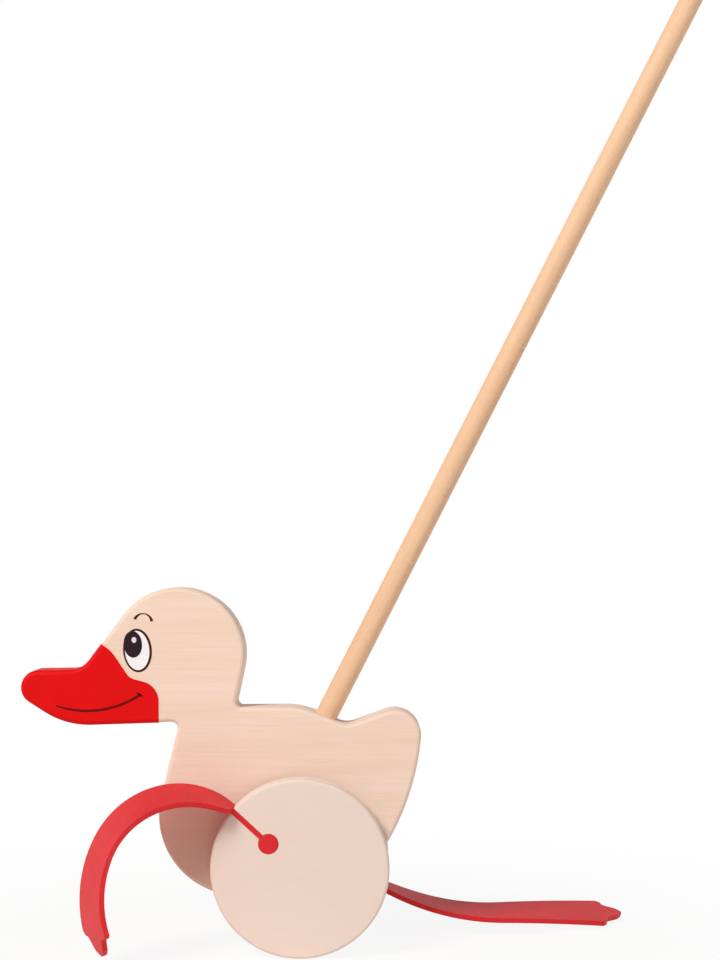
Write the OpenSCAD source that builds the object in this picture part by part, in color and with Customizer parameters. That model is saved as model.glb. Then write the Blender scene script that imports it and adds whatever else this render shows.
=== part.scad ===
// Duck push toy: a sawn wooden duck on two wheels, pushed along with a stick.
// A rubber foot is held in each wheel, and the feet slap the floor in turn as the wheels go round.
// The origin is on the floor under the axle. The bill points to -X, the tail to +X, and up is +Z.

/* [Body] */
// Thickness of the board that the duck is sawn from
body_t = 20; // [18:0.5:30]
// Radius of the rounded-over edges of the board
body_edge = 2; // [1:0.5:5]

/* [Head and bill] */
// Middle of the head, along and above the axle
head_at = [-56.2, 94.4]; // [-80:0.1:120]
// Radius of the head
head_r = 30.6; // [26:0.1:34]
// Middle of the round tip of the bill, along and above the axle
bill_at = [-119.5, 79.7]; // [-130:0.1:90]
// Radius of the tip of the bill
bill_r = 7.5; // [6:0.1:10]
// Radius of the curved underside of the bill
bill_under_r = 37; // [30:0.5:44]
// Length of the straight stretch behind the tip, on the underside
bill_under_run = 8.5; // [6:0.5:12]
// Fall of that stretch below the level, in degrees
bill_under_fall = 32.7; // [28:0.1:37]
// Radius of the hollow between the forehead and the bill
brow_r = 11.5; // [9:0.5:16]
// Radius of the hollow under the chin
chin_r = 3; // [2:0.5:6]
// Thickness of the red lacquer on the bill
lacquer_t = 0.3; // [0.2:0.05:0.5]

/* [Back, tail and belly] */
// Middle of the round of the back, along and above the axle
back_at = [-7.3, 34.2]; // [-12:0.1:40]
// Radius of the round of the back
back_r = 36.7; // [33:0.1:40]
// Radius of the hollow at the nape
nape_r = 2.5; // [1.5:0.5:5]
// Middle of the round tip of the tail, along and above the axle
tail_at = [42.8, 57.8]; // [38:0.1:62]
// Radius of the tip of the tail
tail_r = 11.8; // [9.8:0.1:13.8]
// Radius of the hollow between the back and the tail
dip_r = 10.6; // [8.6:0.1:14]
// Middle of the round of the belly, along and above the axle
belly_at = [-27.9, 21.8]; // [-34:0.1:26]
// Radius of the round of the belly
belly_r = 36.7; // [33:0.1:40]
// Middle of the round of the haunch, along and above the axle
haunch_at = [6, 13.5]; // [0:0.5:18]
// Radius of the round of the haunch
haunch_r = 30; // [26:0.5:34]
// Radius of the long curve of the rump
rump_r = 116; // [100:1:134]

/* [Stick] */
// Diameter of the stick
stick_d = 10; // [8:0.5:14]
// Length of the stick
stick_len = 490; // [380:5:600]
// Lean of the stick away from upright, in degrees
stick_lean = 27; // [20:1:35]
// Bottom of the stick's socket, along and above the axle
socket_at = [0, 44]; // [-4:0.5:48]
// Diameter of the ball on the end of the stick
ball_d = 30; // [26:0.5:40]
// Depth of the hole in the ball
ball_hole = 19; // [14:0.5:22]

/* [Wheels and axle] */
// Diameter of the wheels
wheel_d = 80; // [72:1:90]
// Thickness of the wheels
wheel_t = 12; // [12:0.5:18]
// Radius of the rounded rims of the wheels
wheel_edge = 1.5; // [1:0.5:3]
// Diameter of the axle
axle_d = 8; // [6:0.5:12]
// Depth of the axle's hole in each wheel
axle_hole = 8; // [6:0.5:10]
// Distance from the body to each wheel
side_gap = 3; // [2:0.1:5]
// Outer diameter of the washers between the body and the wheels
washer_d = 16; // [14:0.5:20]

/* [Feet] */
// Thickness of the rubber strap
strap_t = 2.3; // [1.8:0.1:3.5]
// Width of the strap where the wheel holds it
strap_w = 11; // [8:0.5:11.5]
// Width of the foot across the toes
toe_w = 36.7; // [28:0.1:42]
// Length of the foot from the rim to the middle toe
foot_len = 122; // [110:0.5:128]
// How far the side toes stop short of the middle one
toe_step = 11.5; // [8:0.5:16]
// Depth of the web between two toes
web_depth = 2.5; // [0.5:0.1:3]
// Diameter of the bead at the strap's root
bead_d = 9; // [7:0.5:11]
// Distance from the axle to the bead
bead_at = 18; // [15:0.5:24]
// Place of the near wheel's bead round the axle, in degrees
bead_angle = 141; // [0:1:359]
// Lean of the slot away from the spoke through the bead, in degrees
slot_lean = -3.8; // [-12:0.1:12]
// Turn of the far wheel ahead of the near one, in degrees
far_turn = 197.5; // [170:0.5:220]
// Roll of the near foot's toes towards the wheel, in degrees
near_roll_angle = 26; // [0:0.1:30]
// How far the toes splay out from the wheels
splay = 27.5; // [16:0.5:30]
// Roll of the far foot's toes towards the wheel, in degrees
far_roll_angle = 4.9; // [0:0.1:30]

/* [Fits] */
// Clearance all round the turning axle
running_gap = 0.1; // [0.05:0.01:0.1]
// Clearance all round a glued dowel
glue_gap = 0.05; // [0.02:0.01:0.1]
// Clearance all round the rubber in its slot
rubber_gap = 0.1; // [0.05:0.05:0.3]
// Play on each side of a washer
washer_play = 0.2; // [0.1:0.1:0.4]

/* [Hidden] */
$fn = 96;

body_wood = [0.93, 0.81, 0.71];
wheel_wood = [0.93, 0.85, 0.78];
stick_wood = [0.94, 0.74, 0.57];
lacquer_red = [0.90, 0.08, 0.11];
rubber_red = [0.80, 0.15, 0.18];

// Steps of the curves: degrees to a facet of the outline, and facets in a rounded edge
facet = 7;
edge_steps = 4;
// Bevel on the ends of the dowels
dowel_bevel = 0.8;
// How far a cut runs past the face that it opens
past = 1;

// Straight stretches on either side of each hollow of the outline
brow_runs = [25.8, 14.4];
nape_runs = [19.2, 14.6];
dip_runs = [15, 10.8];
// Middle of the hollow under the chin, from the middle of the belly
chin_from_belly = [-31.1, 39.3];

// Places of the lacquer's border, from the middle of the head, and its radii
cheek_from_head = [-17.5, -20.8];
cheek_r = 9.1;
lore_from_head = [-17.8, -5];
lore_r = 6.1;
crest_from_head = [-41.6, -9.7];
crest_r = 16.3;
border_r = 1;
border_past = 10;

axle_z = wheel_d / 2;
wheel_in = body_t / 2 + side_gap;
socket_d = stick_d + 2 * glue_gap;
bore_past = body_t + 2 * past;
washer_t = side_gap - 2 * washer_play;

// Strap: the straight root in the slot, then the bends that the rubber hangs in
root_len = sqrt(pow(wheel_d / 2, 2) - pow(bead_at * sin(slot_lean), 2)) - bead_at * cos(slot_lean);
strap_in = wheel_t - strap_w;
near_bends = [[root_len, 0], [0.209 * foot_len, 39.9], [0.373 * foot_len, 66.2], [0.418 * foot_len, 56.6]];
far_bends = [[root_len, 0], [0.052 * foot_len, -1.3], [0.445 * foot_len, 23.6], [0.503 * foot_len, -6.5]];
// How the strap widens, rolls over and splays out along its length: powers of the share of the way
widen_power = 0.35;
near_roll_power = 0.5;
far_roll_power = 1.04;
splay_power = 2;
toe_power = 1.2;
// Place of the webs, as a share of the way from the middle toe to a side toe
web_place = 0.58;
web_share = 0.3;
strap_bevel = 0.6;
strap_rings = 36;
strap_across = 14;

// Rounds of the outline. Each is [x, z, radius], and a hollow has a radius below zero.
function round_at(place, r) = [place.x, place.y, r];

// Middle of a circle at distance da from a and db from b, on the right (side 1) or left (side -1) of a to b
function meet(a, b, da, db, side) =
    let (d = [b.x - a.x, b.y - a.y], l = norm(d), e = d / l)
    let (s = (l * l + da * da - db * db) / (2 * l), h = side * sqrt(max(0, da * da - s * s)))
    [a.x + e.x * s + e.y * h, a.y + e.y * s - e.x * h];

// Hollow of radius r between two rounds, with a straight run to each
function hollow(a, b, r, runs) =
    round_at(meet(a, b, norm([a[2] + r, runs[0]]), norm([b[2] + r, runs[1]]), 1), -r);

// Long curve of radius r that holds two rounds and touches both
function bulge(a, b, r) = round_at(meet(a, b, r - a[2], r - b[2], -1), r);

// Round of radius r that follows round a after a straight run in the direction heading
function after(a, heading, run, r) =
    let (along = [cos(heading), sin(heading)], inward = [-along.y, along.x])
    round_at([a.x, a.y] + run * along + (r - a[2]) * inward, r);

// Direction of the outward normal of the straight line that touches rounds a and b
function touch(a, b) =
    let (d = [b.x - a.x, b.y - a.y])
    atan2(d.y, d.x) - acos(max(-1, min(1, (a[2] - b[2]) / norm(d))));

function full_turn(angle) = angle - 360 * floor(angle / 360);

// Stations along one round: [x, z, radius, direction of the outward normal]
function stations(c, from, to) =
    let (turn = c[2] > 0 ? full_turn(to - from) : -full_turn(from - to))
    let (n = max(1, ceil(abs(turn) / facet)))
    [for (i = [0 : n]) [c.x, c.y, c[2], from + turn * i / n]];

// The point of a station, moved inwards by inset
function at(s, inset = 0) = [s.x + (s[2] - inset) * cos(s[3]), s.y + (s[2] - inset) * sin(s[3])];

// Stations all round a chain of rounds, like a belt round pulleys
function belt(rounds) =
    let (n = len(rounds), normals = [for (i = [0 : n - 1]) touch(rounds[i], rounds[(i + 1) % n])])
    let (all = [for (i = [0 : n - 1]) each stations(rounds[i], normals[(i + n - 1) % n], normals[i])])
    [for (i = [0 : len(all) - 1]) if (norm(at(all[i]) - at(all[(i + 1) % len(all)])) > 0.01) all[i]];

head = round_at(head_at, head_r);
back = round_at(back_at, back_r);
tail = round_at(tail_at, tail_r);
haunch = round_at(haunch_at, haunch_r);
belly = round_at(belly_at, belly_r);
bill_tip = round_at(bill_at, bill_r);
bill_under = after(bill_tip, -bill_under_fall, bill_under_run, bill_under_r);

// The duck's outline, over the back from the tail to the bill and home along the belly
duck_outline = belt([
    tail,
    hollow(tail, back, dip_r, dip_runs),
    back,
    hollow(back, head, nape_r, nape_runs),
    head,
    hollow(head, bill_tip, brow_r, brow_runs),
    bill_tip,
    bill_under,
    round_at(belly_at + chin_from_belly, -chin_r),
    belly,
    haunch,
    bulge(haunch, tail, rump_r),
]);

// Rounds of the lacquer's border: the cheek, a hollow in front of the eye and a crest, closed round the bill
cheek = round_at(head_at + cheek_from_head, cheek_r);
lore = round_at(head_at + lore_from_head, -lore_r);
crest = round_at(head_at + crest_from_head, crest_r);
border_front = round_at([bill_at.x - bill_r - border_past, crest.y + crest_r - border_r], border_r);
border_low = round_at([border_front.x, bill_at.y - bill_under_r], border_r);
border_back = round_at([cheek.x + cheek_r - border_r, border_low.y], border_r);
lacquer_border = belt([border_back, cheek, lore, crest, border_front, border_low]);

// Cutting a flat outline into triangles, one corner at a time
function corner(a, b, c) = (b.x - a.x) * (c.y - a.y) - (b.y - a.y) * (c.x - a.x);
function inside(p, a, b, c) = corner(a, b, p) >= 0 && corner(b, c, p) >= 0 && corner(c, a, p) >= 0;
function triangle_at(ids, i) = let (n = len(ids)) [ids[(i + n - 1) % n], ids[i], ids[(i + 1) % n]];
function is_free(points, t, ids) =
    corner(points[t[0]], points[t[1]], points[t[2]]) > 0 &&
    [for (j = ids)
        if (search(j, t) == [] && inside(points[j], points[t[0]], points[t[1]], points[t[2]])) j] == [];
function first_free(points, ids, i = 0) =
    is_free(points, triangle_at(ids, i), ids) ? i : first_free(points, ids, i + 1);
function triangles(points, ids, done = []) =
    len(ids) == 3 ? concat(done, [ids]) :
    let (f = first_free(points, ids))
    triangles(points, [for (i = [0 : len(ids) - 1]) if (i != f) ids[i]], concat(done, [triangle_at(ids, f)]));

// Places through the board's thickness: [inset of the outline, place across], round both edges.
// A coat of thickness coat lies over the whole board.
function board_levels(coat) =
    let (reach = body_edge + coat, flat = body_t / 2 - body_edge)
    [for (side = [-1, 1], i = [0 : edge_steps])
        let (a = 90 * (side < 0 ? edge_steps - i : i) / edge_steps)
        [body_edge - reach * cos(a), side * (flat + reach * sin(a))]];

// The board sawn to the duck's outline, with its edges rounded over
module board(coat = 0) {
    levels = board_levels(coat);
    n = len(duck_outline);
    last = len(levels) - 1;
    points = [for (l = levels, s = duck_outline) let (p = at(s, l[0])) [p.x, l[1], p.y]];
    side_faces = [for (i = [0 : last - 1], j = [0 : n - 1])
        let (a = i * n + j, b = i * n + (j + 1) % n)
        each [[a, b, b + n], [a, b + n, a + n]]];
    flat = triangles([for (s = duck_outline) at(s, levels[0][0])], [for (j = [0 : n - 1]) j]);
    near_face = [for (t = flat) [t[2], t[1], t[0]]];
    far_face = [for (t = flat) [for (j = t) j + last * n]];
    polyhedron(points, concat(side_faces, near_face, far_face));
}

// Lifts what is drawn from the axle, so that the wheels stand on the floor
module lifted() {
    translate([0, 0, axle_z]) children();
}

// Lays a drawing of the side view into the upright plane, as wide as a cut needs
module through(width) {
    rotate([90, 0, 0]) linear_extrude(width, center = true) children();
}

// A round hole or rod across the body, along Y
module across(d, length) {
    rotate([90, 0, 0]) cylinder(d = d, h = length, center = true);
}

// Moves what stands on the Z axis to the stick's place: its foot at the bottom of the socket
module along_stick() {
    translate([socket_at.x, 0, socket_at.y]) rotate([0, stick_lean, 0]) children();
}

// A round rod with bevelled ends
module dowel(d, length) {
    r = d / 2;
    b = dowel_bevel;
    rotate_extrude()
        polygon([[0, 0], [r - b, 0], [r, b], [r, length - b], [r - b, length], [0, length]]);
}

module duck_body() {
    color(body_wood) lifted() difference() {
        board();
        across(axle_d + 2 * running_gap, bore_past);
        along_stick() cylinder(d = socket_d, h = stick_len);
    }
}

module bill_lacquer() {
    color(lacquer_red) lifted() intersection() {
        difference() {
            board(lacquer_t);
            board();
        }
        through(bore_past) polygon([for (s = lacquer_border) at(s)]);
    }
}

module push_stick() {
    color(stick_wood) lifted() along_stick() translate([0, 0, glue_gap]) dowel(stick_d, stick_len);
}

module handle_ball() {
    ball_z = glue_gap + stick_len - ball_hole + ball_d / 2;
    color(stick_wood) lifted() along_stick() difference() {
        translate([0, 0, ball_z]) sphere(d = ball_d);
        translate([0, 0, ball_z - ball_d]) cylinder(d = socket_d, h = ball_d / 2 + ball_hole + glue_gap);
    }
}

module axle() {
    length = 2 * (wheel_in + axle_hole - glue_gap);
    color(stick_wood) lifted() rotate([90, 0, 0]) translate([0, 0, -length / 2]) dowel(axle_d, length);
}

// Stands a piece drawn flat, inner side down, against the near side of the body
module near_side(distance) {
    translate([0, -distance, 0]) rotate([90, 0, 0]) children();
}

module far_side(distance) {
    mirror([0, 1, 0]) near_side(distance) children();
}

module washer() {
    difference() {
        cylinder(d = washer_d, h = washer_t);
        translate([0, 0, -past]) cylinder(d = axle_d + 2 * running_gap, h = washer_t + 2 * past);
    }
}

module near_washer() {
    color(wheel_wood) lifted() near_side(body_t / 2 + washer_play) washer();
}

module far_washer() {
    color(wheel_wood) lifted() far_side(body_t / 2 + washer_play) washer();
}

// A wheel drawn flat: a disc with a rounded rim, a blind hole for the axle, and the bead's hole and slot
module wheel(angle) {
    rim = wheel_d / 2 - wheel_edge;
    slot_w = strap_t + 2 * rubber_gap;
    difference() {
        rotate_extrude() {
            square([rim, wheel_t]);
            translate([0, wheel_edge]) square([wheel_d / 2, wheel_t - 2 * wheel_edge]);
            for (z = [wheel_edge, wheel_t - wheel_edge]) translate([rim, z]) circle(wheel_edge);
        }
        translate([0, 0, -past]) cylinder(d = axle_d + 2 * glue_gap, h = axle_hole + past);
        rotate(angle) translate([bead_at, 0, -past]) {
            cylinder(d = bead_d + 2 * rubber_gap, h = wheel_t + 2 * past);
            rotate(slot_lean) translate([0, -slot_w / 2, 0]) cube([wheel_d, slot_w, wheel_t + 2 * past]);
        }
    }
}

module near_wheel() {
    color(wheel_wood) lifted() near_side(wheel_in) wheel(bead_angle);
}

module far_wheel() {
    color(wheel_wood) lifted() far_side(wheel_in) wheel(bead_angle + far_turn);
}

// One step along the strap: from [x, y, heading], a length at so many degrees to the millimetre
function stride(from, length, bend) =
    let (turned = from[2] + bend * length, r = abs(bend) > 0.0001 ? 180 / (PI * bend) : 0)
    r == 0 ? [from.x + length * cos(turned), from.y + length * sin(turned), turned] :
    [from.x + r * (sin(turned) - sin(from[2])), from.y - r * (cos(turned) - cos(from[2])), turned];

// Place and heading of the strap at distance u from the bead
function strap_at(bends, u, from, i = 0) =
    let (length = bends[i][0], bend = bends[i][1] / length)
    u <= length || i == len(bends) - 1 ? stride(from, u, bend) :
    strap_at(bends, u - length, stride(from, length, bend), i + 1);

// How far the strap stops short of the middle toe at share q of its width
function short_of(q) =
    let (v = abs(2 * q - 1), web = max(0, 1 - pow((v - web_place) / web_share, 2)))
    toe_step * pow(v, toe_power) + web_depth * web * web;

// Section of the strap as [share of the width, bevel to come off that side, height], once round
strap_section = let (h = strap_t / 2, b = strap_bevel) concat(
    [[0, 0, b - h]],
    [for (i = [0 : strap_across]) [i / strap_across, b, -h]],
    [[1, 0, b - h], [1, 0, h - b]],
    [for (i = [0 : strap_across]) [1 - i / strap_across, b, h]],
    [[0, 0, h - b]]);

// A point of the strap on one point of its section: s below 0 is at the bead, 0 at the rim, 1 at the toes
function strap_point(bends, from, roll, roll_power, s, section) =
    let (u = s < 0 ? 0 : root_len + s * (foot_len - short_of(section[0])))
    let (share = max(0, (u - root_len) / foot_len), at = strap_at(bends, u, from))
    let (w = strap_w + (toe_w - strap_w) * pow(share, widen_power), tilt = roll * pow(share, roll_power))
    let (y = section[1] + section[0] * (w - 2 * section[1]), h = section[2])
    let (left = y * sin(tilt) - h * cos(tilt), out = y * cos(tilt) + h * sin(tilt))
    [at.x - left * sin(at[2]), at.y + left * cos(at[2]), strap_in + out + splay * pow(share, splay_power)];

// A foot drawn flat with its wheel: the bead in its hole, and the strap from there to the webbed toes
module foot(angle, bends, roll, roll_power) {
    bead = [bead_at * cos(angle), bead_at * sin(angle), angle + slot_lean];
    n = len(strap_section);
    points = [for (i = [0 : strap_rings], p = strap_section)
        strap_point(bends, bead, roll, roll_power, (i - 1) / (strap_rings - 1), p)];
    side_faces = [for (i = [0 : strap_rings - 1], j = [0 : n - 1])
        let (a = i * n + j, b = i * n + (j + 1) % n)
        each [[a, b + n, b], [a, a + n, b + n]]];
    root_end = [for (j = [0 : n / 2 - 2])
        each [[j, j + 1, n - 2 - j], [j, n - 2 - j, n - 1 - j]]];
    toe_end = [for (t = root_end) [for (j = [2, 1, 0]) t[j] + strap_rings * n]];
    polyhedron(points, concat(side_faces, root_end, toe_end));
    translate([bead.x, bead.y, strap_in]) cylinder(d = bead_d, h = strap_w);
}

module near_foot() {
    color(rubber_red) lifted() near_side(wheel_in)
        foot(bead_angle, near_bends, near_roll_angle, near_roll_power);
}

module far_foot() {
    color(rubber_red) lifted() far_side(wheel_in)
        foot(bead_angle + far_turn, far_bends, far_roll_angle, far_roll_power);
}

duck_body();
bill_lacquer();
push_stick();
handle_ball();
axle();
near_washer();
far_washer();
near_wheel();
far_wheel();
near_foot();
far_foot();
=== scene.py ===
# %% [markdown]
# # A duck push toy, dressed for the camera
# The toy is a duck sawn from one board, on two wooden wheels that each hold a red rubber foot.
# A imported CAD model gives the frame: where every piece sits, how big it is and what turns.
# This lesson loads that frame, remodels each piece with finer edges, and gives it a finish.

# %% The frame
from math import acos, asin, atan2, ceil, cos, degrees, hypot, pi, radians, sin, sqrt

import bmesh
import bpy
from mathutils import Matrix, Vector


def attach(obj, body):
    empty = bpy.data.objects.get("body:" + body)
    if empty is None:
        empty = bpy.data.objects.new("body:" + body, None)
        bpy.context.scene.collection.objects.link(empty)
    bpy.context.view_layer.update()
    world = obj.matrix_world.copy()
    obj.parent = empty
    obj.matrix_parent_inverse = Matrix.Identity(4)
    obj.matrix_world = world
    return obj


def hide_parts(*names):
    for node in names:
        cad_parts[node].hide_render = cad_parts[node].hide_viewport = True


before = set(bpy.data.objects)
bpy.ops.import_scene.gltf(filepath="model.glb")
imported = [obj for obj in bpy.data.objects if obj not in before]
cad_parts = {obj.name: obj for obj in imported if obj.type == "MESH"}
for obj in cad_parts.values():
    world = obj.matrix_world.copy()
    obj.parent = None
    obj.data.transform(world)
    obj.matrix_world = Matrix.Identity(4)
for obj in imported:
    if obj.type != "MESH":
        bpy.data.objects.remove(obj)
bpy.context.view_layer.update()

# %% [markdown]
# ## Camera
# The photograph was taken level and square to the duck's side, from about 0.8 m away and a little
# above the duck's head. From there a wheel shows its face and only a thin band of its rim. The
# picture is a crop from above the middle of the frame, so the camera is shifted up and not tilted,
# and upright edges stay upright. The lens and the place were found by laying the wheel, the bill
# and the stick over the photograph.

# %% Camera
MM = 0.001
CAMERA_X, CAMERA_BACK, CAMERA_HIGH = 26.8, 790, 182
LENS, SENSOR, CROP_SHIFT = 64.5, 36, 0.0733

camera_data = bpy.data.cameras.new("camera")
camera_data.sensor_fit, camera_data.sensor_height = "VERTICAL", SENSOR
camera_data.lens, camera_data.shift_y = LENS, CROP_SHIFT
camera = bpy.data.objects.new("camera", camera_data)
camera.location = (CAMERA_X * MM, -CAMERA_BACK * MM, CAMERA_HIGH * MM)
camera.rotation_euler = (pi / 2, 0, 0)
bpy.context.scene.collection.objects.link(camera)
bpy.context.scene.camera = camera
bpy.context.scene.view_settings.view_transform = "Standard"
print("camera:", round(degrees(camera_data.angle_y), 1), "degrees high")

# %% [markdown]
# ## Finishes
# Every finish is made of nodes, so that it has detail at any distance and needs no picture.
# Colours are written as a paint chart gives them, from 0 to 255, and turned into the linear
# values that shaders work in. Patterns read Object coordinates: the pieces sit at the origin, so
# a pattern is fixed to its piece in metres and turns with it.

# %% Paints and patterns
def paint(red, green, blue):
    """A paint chart's colour as the linear colour of a shader."""
    parts = [c / 255 for c in (red, green, blue)]
    return [p / 12.92 if p < 0.04045 else ((p + 0.055) / 1.055) ** 2.4 for p in parts] + [1]


def new_finish(name, rough, specular):
    """An empty finish: its material, its shader and its node tree."""
    material = bpy.data.materials.new(name)
    material.use_nodes = True
    tree = material.node_tree
    shader = tree.nodes["Principled BSDF"]
    shader.inputs["Roughness"].default_value = rough
    shader.inputs["Specular IOR Level"].default_value = specular
    return material, shader, tree


def add_noise(tree, scale, detail, stretch=(1, 1, 1), turn=(0, 0, 0)):
    """A noise pattern on Object coordinates, stretched along the piece and turned with it."""
    place = tree.nodes.new("ShaderNodeTexCoord")
    lay = tree.nodes.new("ShaderNodeMapping")
    lay.vector_type = "TEXTURE"
    lay.inputs["Scale"].default_value = stretch
    lay.inputs["Rotation"].default_value = turn
    noise = tree.nodes.new("ShaderNodeTexNoise")
    noise.inputs["Scale"].default_value = scale
    noise.inputs["Detail"].default_value = detail
    tree.links.new(place.outputs["Object"], lay.inputs["Vector"])
    tree.links.new(lay.outputs["Vector"], noise.inputs["Vector"])
    return noise.outputs["Fac"]


print("white paint in a shader:", paint(255, 255, 255))

# %% [markdown]
# ### What a pattern drives
# One pattern can do three jobs on a surface: shade it between two tones, make it more or less
# glossy, and raise it by a few hundredths of a millimetre. Noise seldom strays far from its middle
# value of 0.5, so each job reads only a span round that middle.

# %% Tones, gloss and relief
NOISE_LOW, NOISE_HIGH = 0.3, 0.7
BUMP_STRENGTH = 0.6


def add_tones(tree, pattern, low, high, spread):
    """Turns a pattern into colours from low to high, over the middle spread of its values."""
    ramp = tree.nodes.new("ShaderNodeValToRGB")
    first, last = ramp.color_ramp.elements
    first.position, first.color = 0.5 - spread, low
    last.position, last.color = 0.5 + spread, high
    tree.links.new(pattern, ramp.inputs["Fac"])
    return ramp.outputs["Color"]


def add_mix(tree, how, share, first, second):
    """Lays one colour over another."""
    mix = tree.nodes.new("ShaderNodeMix")
    mix.data_type, mix.blend_type = "RGBA", how
    mix.inputs["Factor"].default_value = share
    tree.links.new(first, mix.inputs["A"])
    tree.links.new(second, mix.inputs["B"])
    return mix.outputs["Result"]


def set_gloss(tree, shader, pattern, low, high):
    """Lets a pattern drive the roughness, from low to high."""
    span = tree.nodes.new("ShaderNodeMapRange")
    span.inputs["From Min"].default_value = NOISE_LOW
    span.inputs["From Max"].default_value = NOISE_HIGH
    span.inputs["To Min"].default_value = low
    span.inputs["To Max"].default_value = high
    tree.links.new(pattern, span.inputs["Value"])
    tree.links.new(span.outputs["Result"], shader.inputs["Roughness"])


def set_relief(tree, shader, pattern, height):
    """Raises the surface by a pattern of so many millimetres."""
    bump = tree.nodes.new("ShaderNodeBump")
    bump.inputs["Strength"].default_value = BUMP_STRENGTH
    bump.inputs["Distance"].default_value = height * MM
    tree.links.new(pattern, bump.inputs["Height"])
    tree.links.new(bump.outputs["Normal"], shader.inputs["Normal"])


print("noise is read from", NOISE_LOW, "to", NOISE_HIGH)

# %% [markdown]
# ### Wood
# The board is a pale, close-grained wood under a clear matt coat. Its figure is faint: broad bands
# a finger wide, and fine pores between them, both drawn out along the grain. One function makes
# all three woods, and stretching solid noise along the grain gives the right end grain for free.

# %% Woods
PORE_TONE, CLEAR_TONE = (0.9, 0.88, 0.86, 1), (1, 1, 1, 1)
PORE_HEIGHT, GLOSS_SWAY = 0.03, 0.06
STICK_LEAN, WHEEL_GRAIN = 27, -20


def wood(name, pale, dark, turn=(0, 0, 0), figure=0.55, rough=0.6):
    """A wood finish, with the grain along X before it is turned."""
    material, shader, tree = new_finish(name, rough, 0.35)
    bands = add_noise(tree, 90, 2, (14, 1, 1), turn)
    pores = add_noise(tree, 900, 3, (30, 1, 1), turn)
    broad = add_tones(tree, bands, paint(*dark), paint(*pale), 0.2)
    fine = add_tones(tree, pores, PORE_TONE, CLEAR_TONE, 0.18)
    tone = add_mix(tree, "MULTIPLY", figure, broad, fine)
    tree.links.new(tone, shader.inputs["Base Color"])
    set_gloss(tree, shader, pores, rough - GLOSS_SWAY, rough + GLOSS_SWAY)
    set_relief(tree, shader, pores, PORE_HEIGHT)
    return material


wheel_turn, dowel_turn = (0, radians(WHEEL_GRAIN), 0), (0, radians(STICK_LEAN - 90), 0)
board_wood = wood("board_wood", (249, 222, 207), (242, 213, 190))
wheel_wood = wood("wheel_wood", (238, 218, 205), (237, 217, 204), wheel_turn, 0.15)
dowel_wood = wood("dowel_wood", (246, 203, 165), (234, 188, 149), dowel_turn)
print("woods:", [m.name for m in (board_wood, wheel_wood, dowel_wood)])

# %% [markdown]
# ### Lacquer, rubber and ink
# The bill is dipped in a bright red lacquer that dries to a satin gloss with a faint orange peel.
# The feet are moulded rubber: the same red, but matt, and a little cloudy in the mould.
# The inks of the face are thin prints, so they only get a slight unevenness of tone.

# %% Lacquer, rubber and ink
def coat_of_lacquer():
    """The red lacquer on the bill."""
    material, shader, tree = new_finish("red_lacquer", 0.55, 0.1)
    clouds = add_noise(tree, 60, 2)
    peel = add_noise(tree, 700, 1)
    tone = add_tones(tree, clouds, paint(222, 10, 12), paint(228, 14, 16), 0.2)
    tree.links.new(tone, shader.inputs["Base Color"])
    set_gloss(tree, shader, peel, 0.5, 0.6)
    set_relief(tree, shader, peel, 0.02)
    return material


def moulded_rubber():
    """The red rubber of the feet."""
    material, shader, tree = new_finish("red_rubber", 0.56, 0.3)
    clouds = add_noise(tree, 80, 3)
    grit = add_noise(tree, 1400, 2)
    tone = add_tones(tree, clouds, paint(214, 30, 36), paint(222, 37, 43), 0.2)
    tree.links.new(tone, shader.inputs["Base Color"])
    set_gloss(tree, shader, grit, 0.5, 0.62)
    set_relief(tree, shader, grit, 0.04)
    return material


def ink(name, tone, worn):
    """A printing ink, and its tone where it is worn."""
    material, shader, tree = new_finish(name, 0.6, 0.12)
    speckle = add_noise(tree, 1200, 2)
    uneven = add_tones(tree, speckle, paint(*worn), paint(*tone), 0.25)
    tree.links.new(uneven, shader.inputs["Base Color"])
    set_gloss(tree, shader, speckle, 0.55, 0.65)
    return material


lacquer = coat_of_lacquer()
rubber = moulded_rubber()
brown_ink = ink("brown_ink", (48, 20, 18), (66, 32, 28))
white_ink = ink("white_ink", (250, 247, 248), (242, 236, 238))
pupil_ink = ink("pupil_ink", (34, 18, 26), (46, 28, 34))
glint_ink = ink("glint_ink", (238, 226, 232), (226, 210, 218))
mouth_ink = ink("mouth_ink", (100, 0, 4), (120, 4, 8))
print("inks:", [m.name for m in (brown_ink, white_ink, pupil_ink, glint_ink, mouth_ink)])

# %% [markdown]
# ## From a bmesh to a piece
# Each piece is drawn as a bmesh, in place, and turned into an object at the origin.
# It rides on a CAD body, so that it moves with the joint, and it stands for its CAD node.
# Weighted normals keep a flat face flat right up to its rounded edge.

# %% Helpers for pieces
SHARP = 35


def make_piece(name, bm, finish):
    """An object at the origin from a finished bmesh."""
    mesh = bpy.data.meshes.new(name)
    bm.to_mesh(mesh)
    bm.free()
    mesh.materials.append(finish)
    mesh.shade_smooth()
    piece = bpy.data.objects.new(name, mesh)
    bpy.context.scene.collection.objects.link(piece)
    return piece


def as_mesh(piece):
    """Applies a piece's modifiers to its mesh."""
    bpy.context.view_layer.update()
    view = bpy.context.evaluated_depsgraph_get()
    shaped = bpy.data.meshes.new_from_object(piece.evaluated_get(view))
    old = piece.data
    piece.modifiers.clear()
    piece.data = shaped
    bpy.data.meshes.remove(old)
    shaped.name = piece.name


def carve(piece, tool, how="DIFFERENCE"):
    """Cuts, joins or keeps what a second object says, and removes that object."""
    step = piece.modifiers.new("carve", "BOOLEAN")
    step.object, step.operation, step.solver = tool, how, "EXACT"
    as_mesh(piece)
    bpy.data.objects.remove(tool, do_unlink=True)


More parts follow.
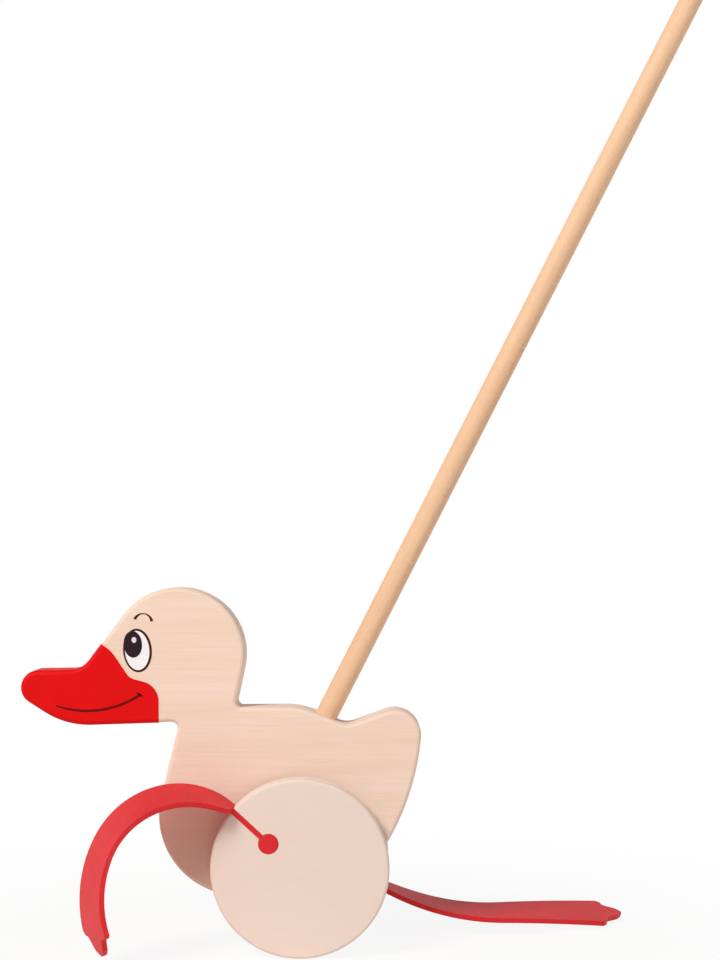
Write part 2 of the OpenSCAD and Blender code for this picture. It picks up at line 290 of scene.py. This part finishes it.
def fit(piece, body, slot, *nodes):
    """Finishes a piece's shading and puts it in the frame."""
    piece.data.set_sharp_from_angle(angle=radians(SHARP))
    light = piece.modifiers.new("even_light", "WEIGHTED_NORMAL")
    light.keep_sharp = True
    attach(piece, body)
    if nodes:
        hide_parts(*nodes)
    print(piece.name, "rides on", body, "with", len(piece.data.polygons), "faces")


print("edges sharper than", SHARP, "degrees stay sharp")

# %% [markdown]
# ## The board
# The duck's outline is a belt laid round a chain of pulleys: the tail, the back, the head, the
# bill, the belly and the haunch, with hollows between some of them. Each pulley is a round,
# (x, z, radius) in millimetres from the axle, and a hollow has a radius below zero. A curve object
# could hold the same outline, but arcs that truly touch each other light cleanly when the edge is
# rounded over.

# %% Rounds of the outline
AXLE_Z = 40
BODY_T, BODY_EDGE = 20, 2


def meet(a, b, from_a, from_b, side):
    """Middle of a circle this far from a and b, on the right (1) or left (-1) of a to b."""
    dx, dz = b[0] - a[0], b[1] - a[1]
    length = hypot(dx, dz)
    ex, ez = dx / length, dz / length
    along = (length ** 2 + from_a ** 2 - from_b ** 2) / (2 * length)
    off = side * sqrt(max(0, from_a ** 2 - along ** 2))
    return a[0] + ex * along + ez * off, a[1] + ez * along - ex * off


def hollow(a, b, r, run_a, run_b):
    """Hollow of radius r between two rounds, with a straight run to each."""
    return (*meet(a, b, hypot(a[2] + r, run_a), hypot(b[2] + r, run_b), 1), -r)


def bulge(a, b, r):
    """Long curve of radius r that holds two rounds and touches both."""
    return (*meet(a, b, r - a[2], r - b[2], -1), r)


def after(a, heading, run, r):
    """Round of radius r that follows round a after a straight run."""
    c, s = cos(radians(heading)), sin(radians(heading))
    return a[0] + run * c - (r - a[2]) * s, a[1] + run * s + (r - a[2]) * c, r


tail, back, head = (42.8, 57.8, 11.8), (-7.3, 34.2, 36.7), (-56.2, 94.4, 30.6)
bill_tip, belly, haunch = (-119.5, 79.7, 7.5), (-27.9, 21.8, 36.7), (6, 13.5, 30)
bill_under = after(bill_tip, -32.7, 8.5, 37)
throat = (belly[0] - 31.1, belly[1] + 39.3, -3)
duck = [
    tail, hollow(tail, back, 10.6, 15, 10.8),
    back, hollow(back, head, 2.5, 19.2, 14.6),
    head, hollow(head, bill_tip, 11.5, 25.8, 14.4),
    bill_tip, bill_under, throat,
    belly, haunch, bulge(haunch, tail, 116),
]
print("rounds in the outline:", len(duck))

# %% [markdown]
# ### Drawing the belt
# One vertex, spun about a pulley's middle, draws that pulley's arc, and an edge joins each arc to
# the next. Filling the loop gives one flat face in the shape of the duck.

# %% Drawing the belt
FACET, SAME_PLACE = 3, 0.01


def add_arc(bm, middle, r, start, turn):
    """Spins a vertex about middle, from start through turn degrees, and returns both ends."""
    x, z = middle
    angle = radians(start)
    first = bm.verts.new(((x + r * cos(angle)) * MM, 0, (z + r * sin(angle)) * MM))
    spun = bmesh.ops.spin(
        bm, geom=[first], cent=(x * MM, 0, z * MM), axis=(0, -1, 0), angle=radians(turn),
        steps=max(2, ceil(abs(turn) / FACET)), use_merge=False)
    return first, [g for g in spun["geom_last"] if isinstance(g, bmesh.types.BMVert)][0]


def close_loop(bm, arcs):
    """Joins arcs end to start, all the way round, and fills the loop with one face."""
    for one, other in zip(arcs, arcs[1:] + arcs[:1]):
        bmesh.ops.contextual_create(bm, geom=[one[1], other[0]])
    bmesh.ops.remove_doubles(bm, verts=bm.verts[:], dist=SAME_PLACE * MM)
    return bmesh.ops.contextual_create(bm, geom=bm.edges[:])["faces"][0]


def touch(a, b):
    """Direction of the outward normal of the straight line that touches two rounds."""
    dx, dz = b[0] - a[0], b[1] - a[1]
    return degrees(atan2(dz, dx) - acos(max(-1, min(1, (a[2] - b[2]) / hypot(dx, dz)))))


def add_belt(bm, rounds, grow=0):
    """Lays a belt round the rounds, grown outwards by so much, and fills it."""
    normals = [touch(a, b) for a, b in zip(rounds, rounds[1:] + rounds[:1])]
    arcs = []
    for (x, z, r), start, end in zip(rounds, normals[-1:] + normals[:-1], normals):
        turn = (end - start) % 360 if r > 0 else -((start - end) % 360)
        arcs.append(add_arc(bm, (x, z + AXLE_Z), r + grow, start, turn))
    return close_loop(bm, arcs)


print("an arc has a vertex every", FACET, "degrees")

# %% [markdown]
# ### From the face to the board
# The flat face is extruded to the board's thickness, and both of its edges are rounded over with a
# bevel, as a router does. A bevel modifier would do the same, but the mesh is needed at once,
# because the bill's coat and the holes are cut from it.

# %% From the face to the board
LEVEL_WITHIN, BOARD_SEGMENTS = 0.001, 6


def thicken(bm, face, low, high):
    """Moves a flat face to Y low and extrudes it to Y high."""
    bmesh.ops.translate(bm, vec=(0, low * MM, 0), verts=bm.verts[:])
    raised = bmesh.ops.extrude_face_region(bm, geom=[face])["geom"]
    top = [g for g in raised if isinstance(g, bmesh.types.BMVert)]
    bmesh.ops.translate(bm, vec=(0, (high - low) * MM, 0), verts=top)
    bmesh.ops.recalc_face_normals(bm, faces=bm.faces[:])


def is_level(edge):
    """True for an edge that runs along a face and not through the thickness."""
    return abs(edge.verts[0].co.y - edge.verts[1].co.y) < LEVEL_WITHIN * MM


def round_over(bm, edges, r, segments):
    """Rounds edges over, as a router does."""
    bmesh.ops.bevel(
        bm, geom=edges, offset=r * MM, offset_type="OFFSET", segments=segments, profile=0.5,
        affect="EDGES", material=-1, clamp_overlap=False)


def board(name, finish, coat=0):
    """The duck's board, or the same board under a coat of so many millimetres."""
    bm = bmesh.new()
    face = add_belt(bm, duck, coat)
    thicken(bm, face, -BODY_T / 2 - coat, BODY_T / 2 + coat)
    round_over(bm, [e for e in bm.edges if is_level(e)], BODY_EDGE + coat, BOARD_SEGMENTS)
    return make_piece(name, bm, finish)


body_board = board("body_board", board_wood)
print("board:", [round(x / MM, 1) for x in body_board.dimensions])

# %% [markdown]
# ## Lacquer on the bill
# The bill is dipped, so the coat is a thin shell with its own edge across the cheek. It is made as
# the real one comes about: the board is coated all over, the wood is taken out of the coat, and
# only the part inside the border is kept. The border is one more belt: it follows the cheek, has a
# hollow in front of the eye, and runs round the bill well outside it.

# %% Lacquer on the bill
LACQUER_T = 0.3

cheek = (head[0] - 17.5, head[1] - 20.8, 9.1)
lore = (head[0] - 17.8, head[1] - 5, -6.1)
crest = (head[0] - 41.6, head[1] - 9.7, 16.3)
border_front = (bill_tip[0] - bill_tip[2] - 10, crest[1] + crest[2] - 1, 1)
border_low = (border_front[0], bill_tip[1] - 37, 1)
border_back = (cheek[0] + cheek[2] - 1, border_low[1], 1)

bill_coat = board("bill_coat", lacquer, LACQUER_T)
carve(bill_coat, board("wood_under_coat", lacquer))
bm = bmesh.new()
face = add_belt(bm, [border_back, cheek, lore, crest, border_front, border_low])
thicken(bm, face, -BODY_T, BODY_T)
carve(bill_coat, make_piece("border", bm, lacquer), "INTERSECT")
fit(bill_coat, "duck", "red_lacquer", "bill_lacquer")

# %% [markdown]
# ## Turned pieces
# The stick, its ball, the axle and the washers are all turned. A profile of a few points on one
# side of an axis is spun once round, its doubles are merged, and its sharp edges are eased, as a
# turner does with a twist of sandpaper. A Screw modifier would do the same, but the spin leaves a
# plain mesh.

# %% Turned pieces
SPIN_STEPS, SPIN_MERGE = 96, 0.005
EASE_SEGMENTS, EASE_SHARPER = 3, 40


def spin_round(bm):
    """Spins a profile in the XZ plane once round the Z axis."""
    bmesh.ops.spin(
        bm, geom=bm.verts[:] + bm.edges[:], cent=(0, 0, 0), axis=(0, 0, 1), angle=2 * pi,
        steps=SPIN_STEPS, use_merge=True)
    bmesh.ops.remove_doubles(bm, verts=bm.verts[:], dist=SPIN_MERGE * MM)
    bmesh.ops.recalc_face_normals(bm, faces=bm.faces[:])


def add_line(bm, corners, start=()):
    """Joins corners, given as (radius, height), with edges, from a vertex that is there."""
    line = [*start, *[bm.verts.new((r * MM, 0, z * MM)) for r, z in corners]]
    for a, b in zip(line, line[1:]):
        bmesh.ops.contextual_create(bm, geom=[a, b])


def finish_turning(name, bm, eased, place, finish):
    """Spins a profile, eases its sharp edges and puts the piece in its place."""
    spin_round(bm)
    limit = radians(EASE_SHARPER)
    sharp = [e for e in bm.edges if e.is_manifold and e.calc_face_angle() > limit]
    round_over(bm, sharp, eased, EASE_SEGMENTS)
    bmesh.ops.transform(bm, matrix=place, verts=bm.verts[:])
    return make_piece(name, bm, finish)


def turned(name, corners, eased, place, finish):
    """A turned piece from the corners of its profile."""
    bm = bmesh.new()
    add_line(bm, corners)
    return finish_turning(name, bm, eased, place, finish)


def rod(name, r, low, high, eased, place, finish, rings=1):
    """A round rod with eased ends. Rings keep the faces of a long one from being needles."""
    side = [(r, low + (high - low) * i / rings) for i in range(rings + 1)]
    return turned(name, [(0, low), *side, (0, high)], eased, place, finish)


print("a turned piece has", SPIN_STEPS, "sides")

# %% [markdown]
# ### Stick and ball
# The stick is a plain dowel, glued into a blind socket in the back. It leans back at the angle that
# suits a small child's hand. The ball on its end is outside the photograph, so it is the usual
# plain one, with a blind hole for the stick.

# %% Stick and ball
STICK_D, STICK_LEN, STICK_RINGS, SOCKET_Z = 10, 490, 40, 44
GLUE, DOWEL_EDGE = 0.05, 0.8
BALL_D, BALL_HOLE, BALL_EDGE = 30, 19, 0.5

socket_floor = Matrix.Translation((0, 0, (AXLE_Z + SOCKET_Z) * MM))
along_stick = socket_floor @ Matrix.Rotation(radians(STICK_LEAN), 4, "Y")
socket_r = STICK_D / 2 + GLUE
stick = rod(
    "stick_rod", STICK_D / 2, GLUE, GLUE + STICK_LEN, DOWEL_EDGE, along_stick, dowel_wood,
    STICK_RINGS)
fit(stick, "duck", "stick_wood", "push_stick")

ball_r = BALL_D / 2
ball_z = GLUE + STICK_LEN - BALL_HOLE + ball_r
mouth_angle = degrees(acos(socket_r / ball_r))
hole_top = ball_z - ball_r + BALL_HOLE + GLUE
bm = bmesh.new()
mouth, _ = add_arc(bm, (0, ball_z), ball_r, -mouth_angle, mouth_angle + 90)
add_line(bm, [(socket_r, hole_top), (0, hole_top)], [mouth])
ball = finish_turning("grip_ball", bm, BALL_EDGE, along_stick, dowel_wood)
fit(ball, "duck", "stick_wood", "handle_ball")

# %% [markdown]
# ### Holes in the board
# The axle's bore goes right through the board, and the stick's socket stops inside it. Both are cut
# with rods, as a drill would, and the socket's mouth follows the rounded back without any fitting.

# %% Holes in the board
AXLE_D, RUNNING = 8, 0.1
DRILL_EDGE, SOCKET_EDGE = 0.1, 0.02

across = Matrix.Translation((0, 0, AXLE_Z * MM)) @ Matrix.Rotation(pi / 2, 4, "X")
bore_r = AXLE_D / 2 + RUNNING
carve(body_board, rod("bore", bore_r, -BODY_T, BODY_T, DRILL_EDGE, across, board_wood))
carve(body_board, rod("socket", socket_r, 0, STICK_LEN, SOCKET_EDGE, along_stick, board_wood))
fit(body_board, "duck", "body_wood", "duck_body")

# %% [markdown]
# ### Axle and washers
# The axle is a dowel that turns in the board and is glued into both wheels. A wooden washer on each
# side keeps the wheel off the board. They are hardly seen, but they show from above and behind.

# %% Axle and washers
SIDE_GAP, AXLE_HOLE = 3, 8
WASHER_D, WASHER_EDGE, PLAY = 16, 0.3, 0.2

wheel_in = BODY_T / 2 + SIDE_GAP
axle_end = wheel_in + AXLE_HOLE - GLUE
axle = rod("axle_rod", AXLE_D / 2, -axle_end, axle_end, DOWEL_EDGE, across, dowel_wood)
fit(axle, "wheel_set", "stick_wood", "axle")

washer_r, washer_low, washer_high = WASHER_D / 2, BODY_T / 2 + PLAY, wheel_in - PLAY
for side, low, high in (("near", washer_low, washer_high), ("far", -washer_high, -washer_low)):
    ring = [(bore_r, low), (washer_r, low), (washer_r, high), (bore_r, high), (bore_r, low)]
    washer = turned(side + "_ring", ring, WASHER_EDGE, across, wheel_wood)
    fit(washer, "wheel_set", "wheel_wood", side + "_washer")

# %% [markdown]
# ## Wheels
# A wheel is a disc with a keyhole: a round hole for the rubber bead, and a saw kerf from it to the
# rim. The rim, the kerf and the hole are one outline, drawn with the same arcs as the duck, so the
# keyhole needs no cutting. The two wheels are glued on with their keyholes nearly opposite, so that
# the feet slap the floor in turn.

# %% Outline of a wheel
WHEEL_D, WHEEL_T = 80, 12
BEAD_D, BEAD_AT, RUBBER_GAP = 9, 18, 0.1
STRAP_T, SLOT_LEAN = 2.3, -3.8
NEAR_BEAD, FAR_TURN = 141, 197.5

BEAD_ANGLES = {"near": NEAR_BEAD, "far": NEAR_BEAD + FAR_TURN}
SIDES = {"near": -1, "far": 1}


def wheel_face(bm, bead_angle):
    """The face of a wheel with its keyhole, at Y 0."""
    heading = radians(bead_angle + SLOT_LEAN)
    bead = Vector((cos(radians(bead_angle)), sin(radians(bead_angle)))) * BEAD_AT
    along, left = Vector((cos(heading), sin(heading))), Vector((-sin(heading), cos(heading)))
    half = STRAP_T / 2 + RUBBER_GAP
    rim_angles = []
    for side in (half, -half):
        off = (bead + left * side).dot(left)
        end = along * sqrt((WHEEL_D / 2) ** 2 - off ** 2) + left * off
        rim_angles.append(degrees(atan2(end.y, end.x)))
    rim_turn = 360 - (rim_angles[0] - rim_angles[1]) % 360
    rim = add_arc(bm, (0, AXLE_Z), WHEEL_D / 2, rim_angles[0], rim_turn)
    hole_r = BEAD_D / 2 + RUBBER_GAP
    mouth = degrees(asin(half / hole_r))
    hole_start, hole_turn = degrees(heading) - mouth, 2 * mouth - 360
    hole = add_arc(bm, (bead.x, bead.y + AXLE_Z), hole_r, hole_start, hole_turn)
    return close_loop(bm, [rim, hole])


print("beads at", BEAD_ANGLES, "degrees")

# %% [markdown]
# ### Discs
# The face is thickened like the board. Only the rim is rounded over, because the kerf is sawn after
# the wheel is turned, and its edges stay crisp. A blind hole on the inner face takes the axle.

# %% Discs
WHEEL_EDGE, WHEEL_SEGMENTS, RIM_WITHIN = 1.5, 5, 0.1


def is_rim(edge):
    """True for an edge of a wheel's face that lies on its rim."""
    inner = (WHEEL_D / 2 - RIM_WITHIN) * MM
    return is_level(edge) and all(
        hypot(v.co.x, v.co.z - AXLE_Z * MM) > inner for v in edge.verts)


for side, sign in SIDES.items():
    bm = bmesh.new()
    face = wheel_face(bm, BEAD_ANGLES[side])
    thicken(bm, face, *sorted((sign * wheel_in, sign * (wheel_in + WHEEL_T))))
    round_over(bm, [e for e in bm.edges if is_rim(e)], WHEEL_EDGE, WHEEL_SEGMENTS)
    disc = make_piece(side + "_disc", bm, wheel_wood)
    reach = sorted((-sign * (wheel_in - 1), -sign * (wheel_in + AXLE_HOLE)))
    carve(disc, rod("hole", AXLE_D / 2 + GLUE, *reach, DRILL_EDGE, across, wheel_wood))
    fit(disc, "wheel_set", "wheel_wood", side + "_wheel")

# %% [markdown]
# ## Rubber feet
# Both feet are one moulding: a strap with a bead on its root, which widens on its outer side into a
# webbed foot. The near one has just left the floor and curls over, and the far one lies flat. The
# strap's line is a chain of arcs. Each is a length and the degrees that the strap bends over it.

# %% The strap's line
FOOT_LEN = 122

lean = radians(SLOT_LEAN)
root_len = sqrt((WHEEL_D / 2) ** 2 - (BEAD_AT * sin(lean)) ** 2) - BEAD_AT * cos(lean)
BENDS = {
    "near": [
        (root_len, 0), (0.209 * FOOT_LEN, 39.9),
        (0.373 * FOOT_LEN, 66.2), (0.418 * FOOT_LEN, 56.6)],
    "far": [
        (root_len, 0), (0.052 * FOOT_LEN, -1.3),
        (0.445 * FOOT_LEN, 23.6), (0.503 * FOOT_LEN, -6.5)],
}


def stride(x, z, heading, length, bend):
    """One step along the strap, of a length at so many radians to the millimetre."""
    if abs(bend) < 1e-6:
        return x + length * cos(heading), z + length * sin(heading), heading
    r = 1 / bend
    new = heading + bend * length
    return x + r * (sin(new) - sin(heading)), z - r * (cos(new) - cos(heading)), new


def strap_at(bends, u, start):
    """Place and heading of the strap at distance u from the bead."""
    here = start
    for i, (length, angle) in enumerate(bends):
        step = u if i == len(bends) - 1 else min(u, length)
        here = stride(*here, step, radians(angle) / length)
        u -= step
        if u <= 0:
            break
    return here


print("strap:", round(root_len, 2), "mm in the wheel and", FOOT_LEN, "mm outside it")

# %% [markdown]
# ### The strap's surface
# Outside the wheel the strap widens, splays outwards and rolls over, all more and more towards the
# toes. The toes are cut in the same surface: the middle one is the longest, and the webs on either
# side of it stop short.

# %% The strap's surface
STRAP_W, TOE_W, WIDEN_POWER = 11, 36.7, 0.35
TOE_STEP, TOE_POWER = 11.5, 1.2
WEB_DEPTH, WEB_PLACE, WEB_SHARE = 2.5, 0.58, 0.3
SPLAY, SPLAY_POWER = 27.5, 2
ROLLS = {"near": (26, 0.5), "far": (4.9, 1.04)}
RIM_AT = 0.15

strap_in = wheel_in + WHEEL_T - STRAP_W


def short_of(q):
    """How far the strap stops short of the middle toe, at share q of its width."""
    v = abs(2 * q - 1)
    web = max(0, 1 - ((v - WEB_PLACE) / WEB_SHARE) ** 2)
    return TOE_STEP * v ** TOE_POWER + WEB_DEPTH * web ** 2


def strap_point(side, s, q):
    """A point of the middle surface: s runs from the bead past the rim to the toes, q across."""
    angle = radians(BEAD_ANGLES[side])
    start = (BEAD_AT * cos(angle), BEAD_AT * sin(angle), angle + lean)
    if s < RIM_AT:
        u = root_len * s / RIM_AT
    else:
        u = root_len + (s - RIM_AT) / (1 - RIM_AT) * (FOOT_LEN - short_of(q))
    share = max(0, (u - root_len) / FOOT_LEN)
    x, z, heading = strap_at(BENDS[side], u, start)
    y = q * (STRAP_W + (TOE_W - STRAP_W) * share ** WIDEN_POWER)
    roll, roll_power = ROLLS[side]
    tilt = radians(roll) * share ** roll_power
    out = strap_in + y * cos(tilt) + SPLAY * share ** SPLAY_POWER
    left = y * sin(tilt)
    place = (x - left * sin(heading), SIDES[side] * out, AXLE_Z + z + left * cos(heading))
    return Vector(place) * MM


print("toes:", TOE_W, "mm wide")

# %% [markdown]
# ### Moulding the feet
# A flat grid is laid on that surface, so its rows follow the strap and one of them lies exactly at
# the rim. A Solidify modifier gives it the rubber's thickness and a Bevel modifier softens its
# edges. A curve with a bevel could not widen on one side only. The bead is a short rod, joined on.

# %% Moulding the feet
ROWS, COLUMNS = 120, 36
FOOT_EDGE, FOOT_SEGMENTS, FOOT_SHARPER, BEAD_EDGE = 0.6, 3, 50, 0.5

for side, sign in SIDES.items():
    bm = bmesh.new()
    bmesh.ops.create_grid(bm, x_segments=ROWS, y_segments=COLUMNS, size=0.5)
    for v in bm.verts:
        v.co = strap_point(side, v.co.x + 0.5, v.co.y + 0.5)
    bmesh.ops.recalc_face_normals(bm, faces=bm.faces[:])
    foot = make_piece(side + "_web_foot", bm, rubber)
    wall = foot.modifiers.new("rubber", "SOLIDIFY")
    wall.thickness, wall.offset = STRAP_T * MM, 0
    soft = foot.modifiers.new("soft_edge", "BEVEL")
    soft.width, soft.segments = FOOT_EDGE * MM, FOOT_SEGMENTS
    soft.limit_method, soft.angle_limit = "ANGLE", radians(FOOT_SHARPER)
    as_mesh(foot)
    angle = radians(BEAD_ANGLES[side])
    bead_at = Matrix.Translation((BEAD_AT * cos(angle) * MM, 0, BEAD_AT * sin(angle) * MM))
    reach = sorted((-sign * strap_in, -sign * (wheel_in + WHEEL_T)))
    carve(foot, rod("bead", BEAD_D / 2, *reach, BEAD_EDGE, bead_at @ across, rubber), "UNION")
    fit(foot, "wheel_set", "red_rubber", side + "_foot")

# %% [markdown]
# ## The face
# The eye, the brow and the mouth are printed on both sides of the board. They could be drawn in the
# wood's material, but thin shapes of their own keep their edges crisp and can be repainted. Each
# layer of ink stands a few hundredths of a millimetre above the one below it, all are sunk a little
# into the wood so that none floats, and a mirror prints the far side.

# %% Printing tools
LAYER, SUNK, OVAL_SIDES = 0.04, 0.02, 72


def print_both(name, bm, finish):
    """Prints a shape that stands at the near face on the far face too."""
    near = bm.verts[:] + bm.edges[:] + bm.faces[:]
    bmesh.ops.mirror(bm, geom=near, matrix=Matrix(), merge_dist=-1, axis="Y")
    bmesh.ops.recalc_face_normals(bm, faces=bm.faces[:])
    fit(make_piece(name, bm, finish), "duck", None)


def spot(name, finish, middle, half_wide, half_high, tilt, layer):
    """An oval of ink on the wood, its top tilted to the left by so many degrees."""
    bm = bmesh.new()
    bmesh.ops.create_cone(
        bm, cap_ends=True, segments=OVAL_SIDES, radius1=1, radius2=1, depth=1)
    depth = layer * LAYER + SUNK
    shape = Matrix.Diagonal((half_wide * MM, half_high * MM, depth * MM, 1))
    stand = Matrix.Rotation(pi / 2, 4, "X")
    lean_left = Matrix.Rotation(radians(-tilt), 4, "Y")
    face_y = -(BODY_T + depth) / 2 + SUNK
    place = Matrix.Translation(Vector((middle[0], face_y, middle[1])) * MM)
    bmesh.ops.transform(bm, matrix=place @ lean_left @ stand @ shape, verts=bm.verts[:])
    print_both(name, bm, finish)


print("layers of ink:", LAYER, "mm each")

# %% [markdown]
# ### Eye
# The eye is four ovals in four layers: a dark one whose border shows as the outline, a white one
# moved a little to the front, the pupil, and a glint. All tilt the same way.

# %% Eye
EYE, EYE_TILT = (-74.1, 136.6), 4.6
WHITE_SHIFT = 0.15

spot("eye_rims", brown_ink, EYE, 6.53, 9.91, EYE_TILT, 1)
spot("eye_whites", white_ink, (EYE[0] - WHITE_SHIFT, EYE[1]), 5.54, 8.92, EYE_TILT, 2)
spot("pupils", pupil_ink, (-76.2, 139.4), 4.17, 6.06, EYE_TILT, 3)
spot("eye_glints", glint_ink, (-75.7, 141.4), 1.1, 1.3, EYE_TILT, 4)

# %% [markdown]
# ### Strokes of a brush
# The brow and the mouth are strokes, thicker in some places than in others. A row of points along
# the stroke carries its width, the two sides are bridged into a ribbon, and the ribbon is extruded
# by a layer of ink.

# %% Strokes of a brush
SWELL_POWER = 1.5


def stroke(bm, points, widths, face_y, depth):
    """Adds a ribbon of ink along points, given in the side view, with a width at each."""
    sides = ([], [])
    last = len(points) - 1
    for i, (p, w) in enumerate(zip(points, widths)):
        before, behind = Vector(points[max(0, i - 1)]), Vector(points[min(last, i + 1)])
        along = (behind - before).normalized()
        for row, sign in zip(sides, (1, -1)):
            x, z = p[0] - sign * along.y * w / 2, p[1] + sign * along.x * w / 2
            row.append(bm.verts.new((x * MM, -(face_y - SUNK) * MM, z * MM)))
    rows = [[bm.edges.new(pair) for pair in zip(row, row[1:])] for row in sides]
    ribbon = bmesh.ops.bridge_loops(bm, edges=rows[0] + rows[1])["faces"]
    raised = bmesh.ops.extrude_face_region(bm, geom=ribbon)["geom"]
    top = [g for g in raised if isinstance(g, bmesh.types.BMVert)]
    bmesh.ops.translate(bm, vec=(0, -(depth + SUNK) * MM, 0), verts=top)


def arc_points(middle, r, start, end, count):
    """Points along an arc in the side view, from one direction to another."""
    angles = [radians(start + (end - start) * i / (count - 1)) for i in range(count)]
    return [(middle[0] + r * cos(a), middle[1] + r * sin(a)) for a in angles]


def swell(count, ends, middle):
    """Widths of a stroke that is as wide as ends at both ends and as middle between them."""
    shares = [abs(2 * i / (count - 1) - 1) for i in range(count)]
    return [middle + (ends - middle) * share ** SWELL_POWER for share in shares]


print("a stroke of five points:", swell(5, 1, 0))

# %% [markdown]
# ### Brow and mouth
# The brow is a small arch with heavy ends, on the wood. The mouth lies on the lacquer: a long arc
# that starts thin near the tip of the bill, and a short tick across its end for the cheek.

# %% Brow and mouth
BROW_POINTS, MOUTH_POINTS, MOUTH_TAPER = 25, 60, 15

bm = bmesh.new()
brow = arc_points((-71.6, 149.3), 4, 159, 7, BROW_POINTS)
stroke(bm, brow, swell(BROW_POINTS, 1.45, 0.5), BODY_T / 2, LAYER)
print_both("brow_lines", bm, brown_ink)

bm = bmesh.new()
bill_face = BODY_T / 2 + LACQUER_T
smile = arc_points((-96.9, 152.4), 43.15, 250.8, 304.3, MOUTH_POINTS)
smile_widths = [0.6 + 0.6 * min(1, i / MOUTH_TAPER) for i in range(MOUTH_POINTS)]
stroke(bm, smile, smile_widths, bill_face, LAYER)
tick = [(-74.75, 117.5), (-73.15, 116.75), (-71.65, 115.75)]
stroke(bm, tick, [0.5, 0.9, 0.5], bill_face, LAYER)
print_both("mouth_lines", bm, mouth_ink)

# %% [markdown]
# ## Floor
# The toy stands on a plain pale floor. What sees the floor and the world directly, in a lens or in
# a reflection, gets white from them, so that the background is white without more light on the toy.
# The floor fades to that white away from the toy, and near it keeps some of the toy's shadow.

# %% Floor
FLOOR_TONE, FLOOR_R, FLOOR_SIDES = (0.92, 0.85, 0.79, 1), 6, 96
FADE_FROM, FADE_TO, WHITE_NEAR = 0.1, 0.36, 0.9


def add_sum(tree, first, second):
    """Adds two values and stops at 1."""
    total = tree.nodes.new("ShaderNodeMath")
    total.operation, total.use_clamp = "ADD", True
    tree.links.new(first, total.inputs[0])
    tree.links.new(second, total.inputs[1])
    return total.outputs["Value"]


def add_seen(tree):
    """1 for a ray of the camera, a reflection or glass, and 0 for light on its way to a piece."""
    rays = tree.nodes.new("ShaderNodeLightPath").outputs
    direct = add_sum(tree, rays["Is Camera Ray"], rays["Is Glossy Ray"])
    return add_sum(tree, direct, rays["Is Transmission Ray"])


def white_floor():
    """A floor that is lit near the toy and fades to white away from it."""
    material = bpy.data.materials.new("white_floor")
    material.use_nodes = True
    tree = material.node_tree
    tree.nodes.clear()
    out = tree.nodes.new("ShaderNodeOutputMaterial")
    lit = tree.nodes.new("ShaderNodeBsdfDiffuse")
    lit.inputs["Color"].default_value = FLOOR_TONE
    glow = tree.nodes.new("ShaderNodeEmission")
    place = tree.nodes.new("ShaderNodeTexCoord")
    far_off = tree.nodes.new("ShaderNodeVectorMath")
    far_off.operation = "LENGTH"
    fade = tree.nodes.new("ShaderNodeMapRange")
    fade.interpolation_type = "SMOOTHSTEP"
    fade.inputs["From Min"].default_value = FADE_FROM
    fade.inputs["From Max"].default_value = FADE_TO
    fade.inputs["To Min"].default_value = WHITE_NEAR
    share = tree.nodes.new("ShaderNodeMath")
    share.operation = "MULTIPLY"
    mix = tree.nodes.new("ShaderNodeMixShader")
    link = tree.links.new
    link(place.outputs["Object"], far_off.inputs[0])
    link(far_off.outputs["Value"], fade.inputs["Value"])
    link(add_seen(tree), share.inputs[0])
    link(fade.outputs["Result"], share.inputs[1])
    link(share.outputs["Value"], mix.inputs["Fac"])
    link(lit.outputs["BSDF"], mix.inputs[1])
    link(glow.outputs["Emission"], mix.inputs[2])
    link(mix.outputs["Shader"], out.inputs["Surface"])
    return material


bm = bmesh.new()
bmesh.ops.create_circle(bm, cap_ends=True, segments=FLOOR_SIDES, radius=FLOOR_R)
floor = make_piece("floor", bm, white_floor())
print("floor:", round(floor.dimensions.x, 1), "m across")

# %% [markdown]
# ## Light
# A soft key lamp stands high on the left, in front of the toy. It rounds the stick, and throws the
# shadow of the near foot on the chest and that of the body on the far foot. A weak lamp, low on the
# right, fills those shadows, and a small one behind the toy lights its far side. That one is kept
# out of reflections, or it would lie as a streak along the far foot. The world adds a little light
# from all round.

# %% Light
TOY, WORLD_LIGHT = (0, 0, 0.09), 0.05


def white_world(strength):
    """A world that lights the toy with so much strength and is white where it is seen."""
    world = bpy.data.worlds.new("studio")
    world.use_nodes = True
    tree = world.node_tree
    sky = tree.nodes["Background"]
    sky.inputs["Color"].default_value = (1, 1, 1, 1)
    level = tree.nodes.new("ShaderNodeMapRange")
    level.inputs["To Min"].default_value, level.inputs["To Max"].default_value = strength, 1
    tree.links.new(add_seen(tree), level.inputs["Value"])
    tree.links.new(level.outputs["Result"], sky.inputs["Strength"])
    bpy.context.scene.world = world


def add_lamp(name, place, size, power):
    """A square soft lamp at place, pointed at the toy."""
    data = bpy.data.lights.new(name, "AREA")
    data.shape, data.size, data.energy = "SQUARE", size, power
    lamp = bpy.data.objects.new(name, data)
    lamp.location = place
    lamp.rotation_euler = (Vector(TOY) - Vector(place)).to_track_quat("-Z", "Y").to_euler()
    bpy.context.scene.collection.objects.link(lamp)
    return lamp


white_world(WORLD_LIGHT)
add_lamp("key_lamp", (-1.15, -1.35, 1.7), 0.8, 49.5)
add_lamp("fill_lamp", (1.9, -0.9, 0.4), 1, 14)
back_lamp = add_lamp("back_lamp", (-0.6, 2, 0.3), 0.5, 22)
back_lamp.visible_glossy = False
